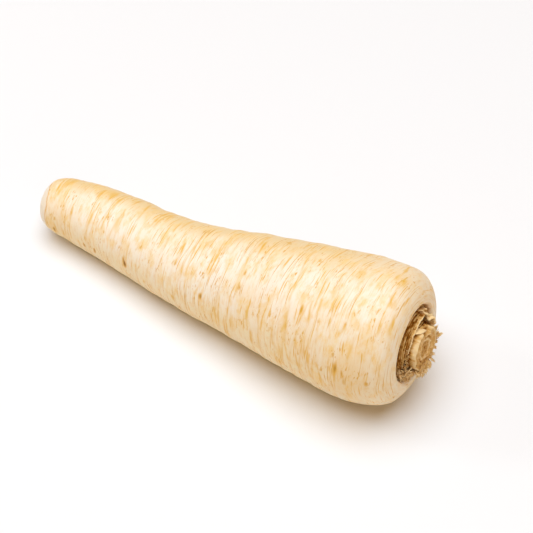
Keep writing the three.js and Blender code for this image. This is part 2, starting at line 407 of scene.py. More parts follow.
def stained(material, code, *stains):
    """A colour with stains laid over it in turn: each one's colour, where it is, and how strong."""
    colour = linear(code)
    for stain_code, where, strength in stains:
        amount = add(material, "ShaderNodeMath", {0: where, 1: strength}, operation="MULTIPLY").outputs[0]
        colour = add(material, "ShaderNodeMix", {"Factor": amount, 6: colour, 7: linear(stain_code)},
                     data_type="RGBA").outputs[2]
    return colour


# Washed root skin: thin cork over white flesh, waxy and slightly translucent. Cream in the main, with ochre
# clouds, and orange streaks, marks and specks that run round the root. Painted on it as well: a paler side
# and broad paler patches, which are painted sheen, and an ochre side, which is painted shade.
skin = new_material("washed_root_skin")
skin_place = add(skin, "ShaderNodeAttribute", attribute_name="place").outputs["Vector"]
noted = {name: add(skin, "ShaderNodeAttribute", attribute_name=name).outputs["Fac"]
         for name in ("crease", "stain", "patch", "painted_sheen_patches", "bare", "skin_edge", "dry_lip")}
bending = stretched_noise(skin, skin_place, 26, 30, 1.0, shift=3.1)
bent = add(skin, "ShaderNodeMath", {0: bending, 1: 6.0, 2: -3.0}, operation="MULTIPLY_ADD").outputs[0]
bent = add(skin, "ShaderNodeCombineXYZ", {"Z": bent}).outputs[0]
skin_place = add(skin, "ShaderNodeVectorMath", {0: skin_place, 1: bent}, operation="ADD").outputs[0]


def facing_side(material, place, side, unevenness):
    """How far each place faces one side of the root, from -1 to 1, with ragged limits."""
    flat = add(material, "ShaderNodeVectorMath", {0: place, 1: (1, 1, 0)}, operation="MULTIPLY").outputs[0]
    flat = add(material, "ShaderNodeVectorMath", {0: flat}, operation="NORMALIZE").outputs[0]
    side = math.radians(side)
    towards = add(material, "ShaderNodeVectorMath", {0: flat, 1: (math.cos(side), math.sin(side), 0)},
                  operation="DOT_PRODUCT").outputs["Value"]
    ragged = stretched_noise(material, place, 14, 9, 2.0, shift=8.8)
    return add(material, "ShaderNodeMath", {0: ragged, 1: unevenness, 2: towards},
               operation="MULTIPLY_ADD").outputs[0]


# The side that faces up and to the front is painted paler: a painted highlight, the sheen of the soft light
# along the root.
painted_sheen_side = patches(skin, facing_side(skin, skin_place, 124, 0.5), 0.75, 1.25)
# The side that faces up and to the back is painted ochre: painted shade where the light grazes the upper back
# of the root.
painted_shade_side = patches(skin, facing_side(skin, skin_place, 45, 0.6), 0.75, 1.25)
along_root = add(skin, "ShaderNodeSeparateXYZ", {"Vector": skin_place}).outputs["Z"]
shoulder_pale = patches(skin, along_root, 158, 188)


def skin_pattern(around, along, detail, roughness, shift, low, high, within=1.0):
    """Patches of the skin, with features so many mm around and along, inside other patches if given."""
    noise = stretched_noise(skin, skin_place, around, along, detail, roughness, shift)
    return patches(skin, noise, low, high, within)


clouds = skin_pattern(9, 4.5, 4.0, 0.65, 0.0, 0.46, 0.70)
blotches = skin_pattern(4.5, 2.0, 3.0, 0.6, 9.3, 0.50, 0.72)
threaded = skin_pattern(14, 9, 2.0, 0.55, 2.9, 0.40, 0.62)
dark_threads = skin_pattern(10, 0.42, 3.0, 0.55, 1.3, 0.50, 0.72, threaded)
pale_threads = skin_pattern(11, 0.5, 3.0, 0.55, 4.8, 0.50, 0.72, threaded)
streaked = skin_pattern(11, 5, 2.0, 0.55, 5.2, 0.40, 0.56)
streaks = skin_pattern(11, 0.55, 1.5, 0.5, 7.7, 0.58, 0.68, streaked)
lined = skin_pattern(13, 6, 2.0, 0.5, 14.3, 0.46, 0.58)
long_lines = skin_pattern(24, 0.45, 1.0, 0.4, 12.1, 0.63, 0.70, lined)
marked = skin_pattern(8, 6, 2.0, 0.55, 6.6, 0.48, 0.62)
marks = skin_pattern(3.2, 0.85, 3.0, 0.6, 2.4, 0.56, 0.67, marked)
speck_place = add(skin, "ShaderNodeVectorMath", {0: skin_place, 1: (1 / 1.5, 1 / 1.5, 1 / 0.9)},
                  operation="MULTIPLY").outputs[0]
speck_cells = add(skin, "ShaderNodeTexVoronoi", {"Vector": speck_place, "Scale": 1.0})
speck_kind = add(skin, "ShaderNodeSeparateColor", {"Color": speck_cells.outputs["Color"]}).outputs[0]
speck_size = patches(skin, speck_kind, 0.65, 1.0, 0.45)
speck_off = add(skin, "ShaderNodeMath", {0: speck_size, 1: speck_cells.outputs["Distance"]},
                operation="SUBTRACT").outputs[0]
specks = patches(skin, speck_off, 0.0, 0.25, marked)
skin_colour = stained(
    skin, "#FAE4BA",
    ("#FDEDD6", painted_sheen_side, 1.0), ("#EDCB8C", painted_shade_side, 0.68), ("#F8E4C4", shoulder_pale, 0.8),
    ("#FDF3E1", noted["painted_sheen_patches"], 0.8), ("#F7D086", clouds, 0.7), ("#F4C878", blotches, 0.5),
    ("#FDF1DA", pale_threads, 0.3), ("#F3CA6C", dark_threads, 0.3), ("#DFA63A", long_lines, 0.8),
    ("#EDB440", streaks, 0.8), ("#E2A93A", marks, 0.9), ("#E0AA3C", specks, 0.45),
    ("#EBB440", noted["crease"], 0.95), ("#EEBB4E", noted["patch"], 0.95),
    ("#E5AC3E", patches(skin, noted["stain"], 0.05, 0.5), 0.9),
    ("#95601F", patches(skin, noted["stain"], 0.35, 1.0), 1.0),
    ("#E0A850", noted["skin_edge"], 0.7), ("#F6E6CC", noted["bare"], 1.0), ("#AE762C", noted["dry_lip"], 0.9))
fine = stretched_noise(skin, skin_place, 9, 0.5, 2.0, shift=1.3)
skin_bump = add(skin, "ShaderNodeBump", {"Strength": 0.28, "Distance": 0.06 * MM, "Height": fine})
finish_material(skin, Base_Color=skin_colour, Roughness=0.42, Specular_IOR_Level=0.22,
                Normal=skin_bump.outputs[0], Subsurface_Weight=0.12,
                Subsurface_Radius=(1.0, 0.75, 0.45), Subsurface_Scale=1.0 * MM)

# Cut flesh, sliced with a knife: white, wet and close-grained, with a faint ring under its skin.
flesh = new_material("cut_white_flesh")
flesh_place = add(flesh, "ShaderNodeAttribute", attribute_name="place").outputs["Vector"]
flesh_grain = patches(flesh, stretched_noise(flesh, flesh_place, 1.2, 1.2), 0.4, 0.7)
finish_material(flesh, Base_Color=stained(flesh, "#F8E8CE", ("#EBD6B2", flesh_grain, 0.5)), Roughness=0.35,
                Subsurface_Weight=0.35, Subsurface_Radius=(1.0, 0.8, 0.55), Subsurface_Scale=2 * MM)

# Pit wall: dead brown skin and torn stalk bases, dry and dull.
pit_wall = new_material("dry_brown_pit_wall")
pit_place = add(pit_wall, "ShaderNodeAttribute", attribute_name="place").outputs["Vector"]
pit_grain = patches(pit_wall, stretched_noise(pit_wall, pit_place, 5, 0.7), 0.35, 0.7)
finish_material(pit_wall, Base_Color=stained(pit_wall, "#AE8046", ("#CFA266", pit_grain, 1.0)), Roughness=0.8)

for material in (skin, flesh, pit_wall):
    root.data.materials.append(material)
ring_of_face = np.minimum(np.arange(len(root.data.polygons)) // AROUND, len(outline))
slot_of_face = np.zeros(len(root.data.polygons), np.int32)
slot_of_face[ring_of_face < CUT_RINGS - 2] = 1
slot_of_face[ring_of_face >= last_skin] = 2
slot_of_face[-2 * AROUND:-AROUND] = 1
slot_of_face[-AROUND:] = 2
root.data.polygons.foreach_set("material_index", slot_of_face)
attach(root, "root")
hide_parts("root")

# ---------------------------------------------------------------- the stalk stump
# What is left of the leaf stalks in the middle of the pit, cut off with a knife: a short column of
# ivory fibres, whose cut face has dried to brown pith between paler rings.
STUMP_RADIUS = 9.1
STUMP_FOOT_RADIUS = 8.4
STUMP_TOP = 5.3
STUMP_SLANT = math.radians(1)
STUMP_FOOT = 0.3 - PIT_DEPTH
STUMP_AROUND = 150


def crown_place(height, radius, turn):
    """Points of the crown, from their height above the lip, their radius and their turn."""
    height, radius, turn = np.broadcast_arrays(height, radius, turn)
    leant = crown_point(LIP + height, radius * np.cos(turn), radius * np.sin(turn))
    return tilted(np.stack(leant, -1)) + shift


def ringed(start, *rings):
    """Rings of the cut face laid over a height or a tone: each one's radius, its width, what it adds."""
    for middle, width, much in rings:
        start = start + much * np.exp(-((oval - middle) / width) ** 2)
    return start


side_height = np.linspace(STUMP_FOOT, STUMP_TOP - 0.15, 64)
face_radius = np.linspace(STUMP_RADIUS - 0.25, 0.15, 84)
height = np.concatenate([side_height, np.full(len(face_radius), STUMP_TOP)])
radius = np.concatenate([
    np.interp(side_height, [STUMP_FOOT, STUMP_FOOT + 6, STUMP_TOP - 5, STUMP_TOP],
              [STUMP_FOOT_RADIUS, STUMP_FOOT_RADIUS + 0.5, STUMP_RADIUS, STUMP_RADIUS]), face_radius])
turn = np.linspace(0, 2 * math.pi, STUMP_AROUND, endpoint=False)
height, radius, turn = np.broadcast_arrays(height[:, None], radius[:, None], turn)
on_face = np.repeat((np.arange(len(height)) >= len(side_height))[:, None], STUMP_AROUND, 1)
stump_place = np.stack([
    radius * np.cos(turn), radius * np.sin(turn), np.where(on_face, STUMP_TOP, height)], -1)

# The face: a soft brown core in a hard pale ring, then rings of pith with pores, then the ivory rim.
oval = radius + 0.3 * np.cos(turn - 0.4) + 0.22 * drift(stump_place, 3, 3, 41)
torn_side = smooth_step(-0.2, 0.9, np.cos(turn - math.radians(265))) * smooth_step(3.5, 6.5, radius)
pores = drift(stump_place, 1.1, 1.1, 42, 80)
face = (ringed(-0.75 * smooth_step(8.2, 1.0, oval), (4.3, 0.42, 0.42), (5.15, 0.4, -0.4),
               (6.0, 0.22, 0.28), (7.1, 0.6, -0.45), (2.3, 0.3, 0.15), (8.9, 0.45, 0.25))
        + 0.12 * pores * smooth_step(9, 7.5, radius)
        + torn_side * (0.35 * drift(stump_place, 1.6, 1.6, 43, 80) - 0.3))
face_tone = (ringed(0.27, (4.3, 0.55, -0.2), (5.1, 0.4, 0.14), (5.9, 0.4, -0.1), (2.3, 0.4, -0.05))
             + 0.18 * smooth_step(3.9, 3.2, oval) - 0.22 * smooth_step(8.0, 8.8, oval)
             - 0.1 * smooth_step(1.4, 0.6, oval) - 0.07 * pores + 0.14 * torn_side)
ribs = 0.10 * drift(stump_place, 0.9, 14, 44, 80) + 0.16 * drift(stump_place, 4, 12, 45)
# The side is palest just under the cut face, a painted highlight, and darker further down and deep in the
# pit, painted shade; it is also darker round two sides.
side_tone = (0.07 + 0.42 * smooth_step(4.9, 2.4, height) + 0.4 * smooth_step(1.5, -5.0, height)
             + 0.12 * drift(stump_place, 0.8, 9, 46, 60) + 0.1 * drift(stump_place, 5, 4, 47)
             + 0.2 * smooth_step(0.2, 1.0, np.cos(turn - 0.6))
             + 0.35 * smooth_step(2.9, 1.2, height) * smooth_step(0.4, 0.9, np.cos(turn - 3.4)))
ragged_rim = 0.22 * drift(stump_place, 1.5, 30, 48) * smooth_step(STUMP_TOP - 2, STUMP_TOP, height)
broken = smooth_step(0.84, 0.98, np.cos(turn - math.radians(70))) * smooth_step(5.8, 7.8, radius)
stump_tone = np.where(on_face, face_tone, side_tone) + 0.26 * broken
uneven = 1 + 0.02 * np.cos(2 * turn + 0.6) + 0.015 * np.cos(3 * turn)
swell = np.where(on_face, 0, ribs)
slant = smooth_step(STUMP_FOOT + 3, STUMP_TOP - 1, height) * math.tan(STUMP_SLANT) * radius * np.cos(turn)
broken = broken * smooth_step(STUMP_TOP - 3.4, STUMP_TOP - 0.6, height)
height = height + slant + ragged_rim + np.where(on_face, face, 0) - 2.3 * broken
stump_points = crown_place(height, uneven * radius + swell, turn)
stump_foot = crown_place(STUMP_FOOT, 0.0, 0.0)
stump_middle = stump_points[-1].mean(0)
stump = closed_rings("stalk_stump_cut", stump_points, stump_foot, stump_middle)
note(stump, "place", with_poles(stump_place, [0, 0, STUMP_FOOT], [0, 0, STUMP_TOP]), "FLOAT_VECTOR")
note(stump, "tone", with_poles(np.clip(stump_tone, 0, 1), 1, 0.5))


def dried(material, tone):
    """Dead plant tissue: cream where it is fresh or torn, then tan, brown, and nearly black in the dark."""
    return stained(material, "#F0D29C", ("#D7A75F", patches(material, tone, 0.02, 0.35), 1.0),
                   ("#925711", patches(material, tone, 0.33, 0.60), 1.0),
                   ("#361903", patches(material, tone, 0.60, 1.0), 1.0))


def uneven_tone(material, pattern, strength):
    """The tone noted at each point, made lighter and darker by a pattern."""
    tone = add(material, "ShaderNodeAttribute", attribute_name="tone").outputs["Fac"]
    tone = add(material, "ShaderNodeMath", {0: pattern, 1: strength, 2: tone},
               operation="MULTIPLY_ADD").outputs[0]
    return add(material, "ShaderNodeMath", {0: tone, 1: -strength / 2}, operation="ADD").outputs[0]


# Stalk tissue, cut across: dry fibres that run up the stalk, dull, with pores in the cut face.
stalk = new_material("dry_cut_stalk_fibre")
stalk_place = add(stalk, "ShaderNodeAttribute", attribute_name="place").outputs["Vector"]
stalk_grain = stretched_noise(stalk, stalk_place, 0.5, 5, 3.0, 0.6)
stalk_tone = uneven_tone(stalk, stalk_grain, 0.5)
stalk_bump = add(stalk, "ShaderNodeBump", {"Strength": 0.6, "Distance": 0.15 * MM, "Height": stalk_grain})
finish_material(stalk, Base_Color=dried(stalk, stalk_tone), Roughness=0.65, Specular_IOR_Level=0.06,
                Normal=stalk_bump.outputs[0], Subsurface_Weight=0.1,
                Subsurface_Radius=(1.0, 0.6, 0.3), Subsurface_Scale=1.0 * MM)
stump.data.materials.append(stalk)
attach(stump, "root")
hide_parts("stalk_stump")

# ---------------------------------------------------------------- the dry leaf bases
# The bases of the outer leaves: thin, dead, papery sheaths that wrap the stump one inside another.
# They tore or were trimmed when the leaves came off, so their tops are ragged and frayed.
SHEATH_FOOT = 0.5 - PIT_DEPTH
SHEATH_STEP = 0.26


def torn_sheath(low, high, radius, thick, top, tone, seed, tear=0.8, tooth=1.3, flare=0.4, wave=0.35,
                fall=1.2, pale_edge=0.45, lean=0.0, spiral=0.0, layered=False):
    """One sheath from one turn to another, in degrees, torn into teeth along its top."""
    draw = np.random.default_rng(seed)
    steps = int(math.radians(high - low) * radius / SHEATH_STEP)
    turn = np.radians(np.linspace(low, high, steps + 1))
    reach = (turn - turn[0]) * radius
    ends = np.cumsum(draw.uniform(0.5, 1.5, 200) * tooth)
    which = np.searchsorted(ends, reach)
    start = np.concatenate([[0], ends])[which]
    across = (reach - start) / (ends[which] - start)
    bump = np.clip(4 * across * (1 - across), 0, 1) ** 0.6
    length = draw.uniform(0.1, 1.0, 201)[which] * tear
    bent = draw.uniform(-0.35, 1.0, 201)[which] * flare
    ends_fall = fall * np.abs(np.linspace(-1, 1, steps + 1)) ** 4
    crest = top - tear - ends_fall + length * bump
    up = np.concatenate([np.linspace(0, 0.6, 12), np.linspace(0.6, 1, 20)[1:]])[None]
    radius = radius + spiral * np.linspace(0, 1, steps + 1)[:, None]
    turn, crest, bent = turn[:, None], crest[:, None], bent[:, None]
    height = SHEATH_FOOT + (crest - SHEATH_FOOT) * up
    curl = np.clip((height - (top - tear - 1.2)) / (tear + 1.2), 0, 1) ** 2
    place = np.stack(np.broadcast_arrays(radius * np.cos(turn), radius * np.sin(turn), height), -1)
    ripple = wave * drift(place, 4.5, 9, seed + 1) * smooth_step(SHEATH_FOOT, SHEATH_FOOT + 5, height)
    rough = 0.07 * drift(place, 0.8, 7, seed + 2, 60)
    middle = radius + ripple + rough + bent * curl + lean * up ** 2
    half = thick / 2 * (1 - 0.55 * up ** 3) * (1 - np.linspace(-1, 1, steps + 1)[:, None] ** 10 * 0.8)
    # The tone darkens the deeper the sheath goes into the pit: painted shade.
    dark = (tone + 0.35 * smooth_step(-1, -8, height) - pale_edge * smooth_step(0.75, 0.1, crest - height)
            + 0.12 * drift(place, 1.3, 6, seed + 3, 60))
    if layered:  # its grain runs round it instead of up it
        dark = dark + 0.22 * drift(place, 9, 0.7, seed + 4, 60)
        place = np.stack(np.broadcast_arrays(height, radius, reach[:, None]), -1)
    sides = [crown_place(height, middle + half, turn), crown_place(height, middle - half, turn)]
    return sides, place, np.clip(dark, 0, 1)


def torn_flap(turn, radius, height, width, length, tone, seed, bend=(0, 70), thick=0.4, cup=0.4,
              tear=0.3, pale_edge=0.25, rough=0.22):
    """A scrap of sheath that grows up out of the crown and curls from one lean to another, in degrees."""
    draw = np.random.default_rng(seed)
    across = np.linspace(-1, 1, 17)
    phase = draw.uniform(0, 6.28, 3)
    outline = 1 - tear * (0.5 + 0.5 * np.cos(across * draw.uniform(3, 5) + phase[0])) * draw.uniform(0.5, 1)
    outline = outline - 0.12 * np.cos(across * 9 + phase[1]) - 0.35 * across ** 4
    up = np.linspace(0, 1, 16)[:, None]
    rows = up * outline
    first, turned = math.radians(bend[0]), math.radians(bend[1] - bend[0])
    lean = first + turned * rows
    out = radius + length * (math.cos(first) - np.cos(lean)) / turned
    high = height + length * (np.sin(lean) - math.sin(first)) / turned
    half_width = width / 2 * (1 - 0.3 * up ** 2) * (1 + 0.12 * np.cos(up * 7 + phase[2]))
    sideways = across * half_width
    place = np.stack([radius * math.cos(math.radians(turn)) + sideways, out, high], -1)
    crumple = drift(place, 1.6, 2.0, seed + 1, 60) + 0.5 * drift(place, 0.7, 1.4, seed + 2, 60)
    offset = rough * crumple - cup * across ** 2
    half = thick / 2 * np.sqrt(np.clip(1 - across ** 2, 0, 1)) * np.sqrt(np.clip(1 - up ** 3, 0, 1)) + 0.04
    angle = math.radians(turn) + sideways / out
    sides = [crown_place(high - face * np.sin(lean), out + face * np.cos(lean), angle)
             for face in (offset - half, offset + half)]
    edge = np.maximum(smooth_step(0.7, 1, up), smooth_step(0.72, 1, np.abs(across)))
    # The tone darkens at the flap's foot and the deeper it goes into the pit: painted shade.
    dark = (tone - pale_edge * edge + 0.25 * smooth_step(0.35, 0, up)
            + 0.16 * drift(place, 0.8, 3, seed + 3, 60) + 0.3 * smooth_step(-0.5, -4, high))
    return sides, place, np.clip(dark, 0, 1)


def sheath_piece(name, sheaths, node):
    """One leaf base: several closed sheaths in one mesh."""
    vertices, faces, places, tones = [], [], [], []
    for sides, place, dark in sheaths:
        rows, columns = dark.shape
        first = sum(len(v) for v in vertices)
        grid = np.arange(rows * columns).reshape(rows, columns) + first
        quads = np.stack([grid[:-1, :-1], grid[1:, :-1], grid[1:, 1:], grid[:-1, 1:]], -1).reshape(-1, 4)
        faces += quads.tolist()
        faces += (quads[:, [0, 3, 2, 1]] + rows * columns).tolist()
        edge = np.concatenate([grid[:, 0], grid[-1, 1:], grid[-2::-1, -1], grid[0, -2:0:-1]])
        behind = edge + rows * columns
        after = np.roll(edge, -1)
        faces += np.stack([behind, after + rows * columns, after, edge], -1).tolist()
        vertices += [sides[0].reshape(-1, 3), sides[1].reshape(-1, 3)]
        places += [place.reshape(-1, 3)] * 2
        tones += [dark.ravel()] * 2
    mesh = bpy.data.meshes.new(name)
    mesh.from_pydata((np.concatenate(vertices) * MM).tolist(), [], faces)
    mesh.shade_smooth()
    made = put_in_scene(name, mesh)
    note(made, "place", np.concatenate(places), "FLOAT_VECTOR")
    note(made, "tone", np.concatenate(tones))
    mesh.materials.append(sheath_fibre)
    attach(made, "root")
    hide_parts(node)


# Dry leaf sheath: papery and fibrous, dull, tan to brown, with paler threads and torn edges.
sheath_fibre = new_material("dry_papery_leaf_sheath")
sheath_place = add(sheath_fibre, "ShaderNodeAttribute", attribute_name="place").outputs["Vector"]
sheath_grain = stretched_noise(sheath_fibre, sheath_place, 0.45, 4, 3.0, 0.6)
sheath_tone = uneven_tone(sheath_fibre, sheath_grain, 0.7)
sheath_bump = add(sheath_fibre, "ShaderNodeBump",
                  {"Strength": 0.7, "Distance": 0.15 * MM, "Height": sheath_grain})
finish_material(sheath_fibre, Base_Color=dried(sheath_fibre, sheath_tone), Roughness=0.7,
                Specular_IOR_Level=0.04, Normal=sheath_bump.outputs[0])

sheath_piece("leaf_base_1_torn", [
    torn_sheath(54, 140, 12.5, 0.4, 2.8, 0.44, 101, tear=0.35, tooth=2.5, flare=0.2, wave=0.15, fall=1.4,
                pale_edge=0.4, spiral=-2.3),
    torn_sheath(40, 130, 11.0, 0.45, 1.0, 0.6, 102, tear=0.4, tooth=2.2, flare=0.2, wave=0.2, spiral=-0.8,
                pale_edge=0.1),
    torn_sheath(50, 118, 9.6, 0.5, 2.4, 0.52, 104, tear=0.5, tooth=2.4, flare=0.2, fall=1.0, pale_edge=0.2),
    torn_sheath(64, 112, 7.0, 0.9, 4.9, 0.0, 105, tear=0.0, tooth=5.0, flare=0.5, wave=0.0, fall=2.4,
                pale_edge=0.0, spiral=3.4),
    torn_sheath(14, 60, 12.6, 2.0, 3.6, 0.06, 107, tear=1.2, tooth=2.4, flare=0.5, wave=0.6, fall=1.4,
                pale_edge=0.0, lean=0.3),
    torn_sheath(30, 70, 14.0, 1.2, 1.2, 0.1, 108, tear=0.8, tooth=2.2, flare=0.3, wave=0.5, pale_edge=0.0),
    torn_sheath(36, 112, 15.3, 0.5, -0.3, 0.32, 111, tear=0.15, tooth=5.0, flare=0.0, wave=0.1,
                pale_edge=0.0),
    torn_flap(36, 12.4, 1.8, 4.6, 2.8, 0.04, 109, bend=(-30, 30), thick=1.6, rough=0.5, pale_edge=0.0),
    torn_flap(20, 12.8, 1.2, 3.6, 2.8, 0.08, 113, bend=(-20, 30), thick=1.4, rough=0.5, pale_edge=0.0),
    torn_flap(21, 11.3, 1.4, 4.4, 3.0, 0.02, 114, bend=(-10, 40), thick=1.4, rough=0.6, pale_edge=0.0),
    torn_flap(44, 12.2, 2.0, 3.4, 2.2, 0.0, 115, bend=(-40, 30), thick=1.2, rough=0.5, pale_edge=0.0),
    ], "leaf_base_1")
sheath_piece("leaf_base_2_torn", [
    torn_sheath(112, 162, 10.25, 0.45, 3.0, 0.4, 201, tear=0.5, tooth=0.6, flare=0.5, fall=0.8, wave=0.2),
    torn_sheath(124, 240, 11.3, 0.45, 1.7, 0.7, 202, tear=0.8, tooth=1.2, flare=0.5, fall=1.0, pale_edge=0.3),
    torn_sheath(196, 252, 10.3, 0.5, 3.6, 0.36, 203, tear=1.6, tooth=1.4, flare=1.2, lean=0.6),
    *[torn_flap(198 + 9 * k, 10.6 + 0.4 * (k % 3), 0.2, 2.4, 2.6 + 0.4 * (k % 2), 0.3, 210 + k, bend=(5, 95))
      for k in range(7)]
    ], "leaf_base_2")

# The tall one frays into a ruff of hooked teeth, which stand out past the cut face of the stump:
# their turn, how far out each reaches, and how wide it is.
TEETH = [
    (12, 11.4, 2.8), (3, 11.2, 2.0), (-4, 11.8, 1.6), (-9, 13.0, 2.0), (-19, 11.6, 1.6), (-27, 12.0, 1.9),
    (-34, 11.2, 1.2), (-39, 12.1, 1.7), (-46, 11.1, 1.1), (-53, 12.3, 1.7), (-60, 11.4, 1.1),
    (-65, 13.2, 1.0), (-72, 12.4, 1.4), (-79, 13.0, 3.0), (-88, 12.4, 2.6), (-95, 12.6, 2.4),
    (-102, 12.2, 2.8), (-110, 12.0, 2.2), (-118, 11.8, 2.4), (-127, 11.6, 2.2), (-135, 11.4, 2.0)]
TEETH_RADIUS = 10.0
ruff = [
    torn_sheath(228, 378, 9.65, 0.7, 5.0, 0.3, 301, tear=0.3, tooth=1.6, flare=0.1, fall=1.0, wave=0.12),
    torn_sheath(232, 376, 10.15, 0.5, 5.2, 0.26, 302, tear=0.6, tooth=2.0, flare=0.7, fall=1.2, lean=0.3),
    torn_flap(259, 10.4, 2.2, 5.4, 4.8, 0.16, 304, bend=(8, 86), thick=0.5, tear=0.12),
    torn_flap(240, 10.2, 2.2, 4.2, 4.0, 0.26, 305, bend=(8, 84), thick=0.5),
    ]
draw = np.random.default_rng(71)
for turn, reach, width in TEETH:
    ruff.append(torn_flap(
        turn, TEETH_RADIUS, 3.8, width, (reach - TEETH_RADIUS) * 1.35, draw.uniform(0.1, 0.28), 500 + turn,
        bend=(20, draw.uniform(66, 84)), thick=0.55, tear=0.15, cup=0.5, rough=0.15))
sheath_piece("leaf_base_3_torn", ruff, "leaf_base_3")
sheath_piece("leaf_base_4_torn", [
    torn_sheath(70 - 3 * k, (172 if k < 2 else 190) + 4 * k, 10.75 + 0.62 * k, 0.42, 2.3 - 0.44 * k,
                0.66 - 0.02 * k, 400 + 10 * k, tear=0.25, tooth=5.0, flare=0.15, wave=0.22, fall=0.8,
                pale_edge=0.15, layered=True)
    for k in range(8)
    ], "leaf_base_4")
sheath_piece("leaf_base_5_torn", [
    torn_sheath(196, 296, 12.0, 0.45, 1.2, 0.5, 501, tear=1.6, tooth=1.4, flare=1.0, wave=0.5, pale_edge=0.4),
    torn_sheath(204, 286, 13.2, 0.45, 0.7, 0.4, 502, tear=1.4, tooth=1.8, flare=0.8, wave=0.4, pale_edge=0.4),
    torn_sheath(184, 272, 14.2, 0.45, 0.2, 0.3, 503, tear=0.9, tooth=2.0, flare=0.3, wave=0.2),
    torn_sheath(172, 264, 15.2, 0.4, -0.4, 0.36, 504, tear=0.4, tooth=3.0, flare=0.2, wave=0.15),
    *[torn_flap(194 + 10 * k, 13.0 + 0.6 * (k % 3), -1.0, 3.0, 2.2 + 0.5 * (k % 2), 0.22, 510 + k,
                bend=(10, 80)) for k in range(8)]
    ], "leaf_base_5")
sheath_piece("leaf_base_6_torn", [
    torn_sheath(-38, 62, 12.0, 0.45, 0.6, 0.55, 601, tear=1.2, tooth=1.4, flare=0.6),
    torn_sheath(-60, 76, 13.6, 0.45, 0.1, 0.5, 602, tear=0.8, tooth=2.0, flare=0.3, wave=0.3),
    torn_sheath(-100, 60, 14.8, 0.45, -0.5, 0.45, 603, tear=0.5, tooth=3.0, flare=0.2, wave=0.2),
    ], "leaf_base_6")

# ---------------------------------------------------------------- the torn fibres
# Strings of the leaf bases that did not break off with them: dry, pale, and finer than a millimetre.
# They hang between the sheaths and the wall of the pit, and fray out of every torn edge.
FIBRE_WANDER = 1.1
FIBRE_WANDER_LENGTH = 2.0
FIBRE_SEED = 3.0
FIBRE_SIDES = 6
draw = np.random.default_rng(61)
fibre_points, fibre_edges, fibre_thick, fibre_tone = [], [], [], []


def pull_fibre(turn, radius, height, turn_end, radius_end, height_end, sag, thick, tone, count):
    """One fibre from one place of the crown to another, bowed by the sag."""
    share = np.linspace(0, 1, count)
    bow = 4 * share * (1 - share)
    turns = np.radians(turn + (turn_end - turn) * share)
    radii = radius + (radius_end - radius) * share + sag * bow
    heights = height + (height_end - height) * share - 0.5 * sag * bow
    first = len(fibre_points)
    fibre_points.extend((crown_place(heights, radii, turns) * MM).tolist())
    fibre_edges.extend([(first + k, first + k + 1) for k in range(count - 1)])
    fibre_thick.extend((thick * MM * (1 - 0.7 * share ** 2)).tolist())
    fibre_tone.extend([tone] * count)


# For each group: how many, and how many points each has, then what its turn, radius and height, how far
# round its end is, its end's radius and height, its sag, thickness and tone are drawn from.
FIBRES = (
    # from the stump to the wall, along the lower side
    (30, 9, (196, 264), (9.8, 11.5), (0.8, 3.8), (-20, 20), (12, 15), (-0.4, 1.2), (-0.6, 0.8),
     (0.13, 0.3), (0.0, 0.3)),
    # round the lower side
    (20, 9, (186, 252), (11, 15), (0.2, 1.6), (8, 26), (11, 15), (0.2, 1.6), (-0.8, 0.8),
     (0.13, 0.3), (0.0, 0.3)),
    # over the dark gap beside the stump
    (36, 6, (138, 196), (9.7, 10.6), (1.8, 3.0), (-7, 7), (10.8, 12.4), (1.2, 2.2), (-0.3, 0.5),
     (0.07, 0.13), (0.1, 0.5)),
    # out of the torn lower edge of the cut face
    (34, 9, (236, 300), (6, 9.2), (5.4,), (-14, 14), (10.6, 13.4), (4.4, 5.6), (-0.4, 0.5),
     (0.1, 0.2), (0.05, 0.4)),
    # out of the ruff
    (16, 6, (232, 372), (9.6, 10.8), (5.0, 5.6), (-9, 9), (11, 12.6), (5.2, 6.2), (-0.2, 0.5),
     (0.08, 0.16), (0.1, 0.5)),
    # across the hollow at the top
    (14, 9, (12, 60), (10.4, 13), (0.8, 3.2), (-18, 18), (11, 14.5), (0.4, 2.2), (-0.5, 0.6),
     (0.09, 0.18), (0.1, 0.5)))
for many, count, *limits in FIBRES:
    for _ in range(many):
        turn, radius, height, turn_by, *others = [
            draw.uniform(*limit) if len(limit) == 2 else limit[0] for limit in limits]
        pull_fibre(turn, radius, height, turn + turn_by, *others, count)

fibre_mesh = bpy.data.meshes.new("fibre_paths")
fibre_mesh.from_pydata(fibre_points, fibre_edges, [])
fibre_paths = put_in_scene("fibre_paths", fibre_mesh)
note(fibre_paths, "thick", fibre_thick)
note(fibre_paths, "tone", fibre_tone)

# Torn stalk fibre: dry and dull, cream where it tore and tan where it aged.
torn_fibre = new_material("torn_dry_stalk_fibre")
fibre_where = add(torn_fibre, "ShaderNodeTexCoord").outputs["Object"]
fibre_mottle = add(torn_fibre, "ShaderNodeTexNoise",
                   {"Vector": fibre_where, "Scale": 1 / (1.5 * MM), "Detail": 2.0}).outputs["Fac"]
fibre_age = uneven_tone(torn_fibre, fibre_mottle, 0.4)
finish_material(torn_fibre, Base_Color=dried(torn_fibre, fibre_age), Roughness=0.7, Specular_IOR_Level=0.04)

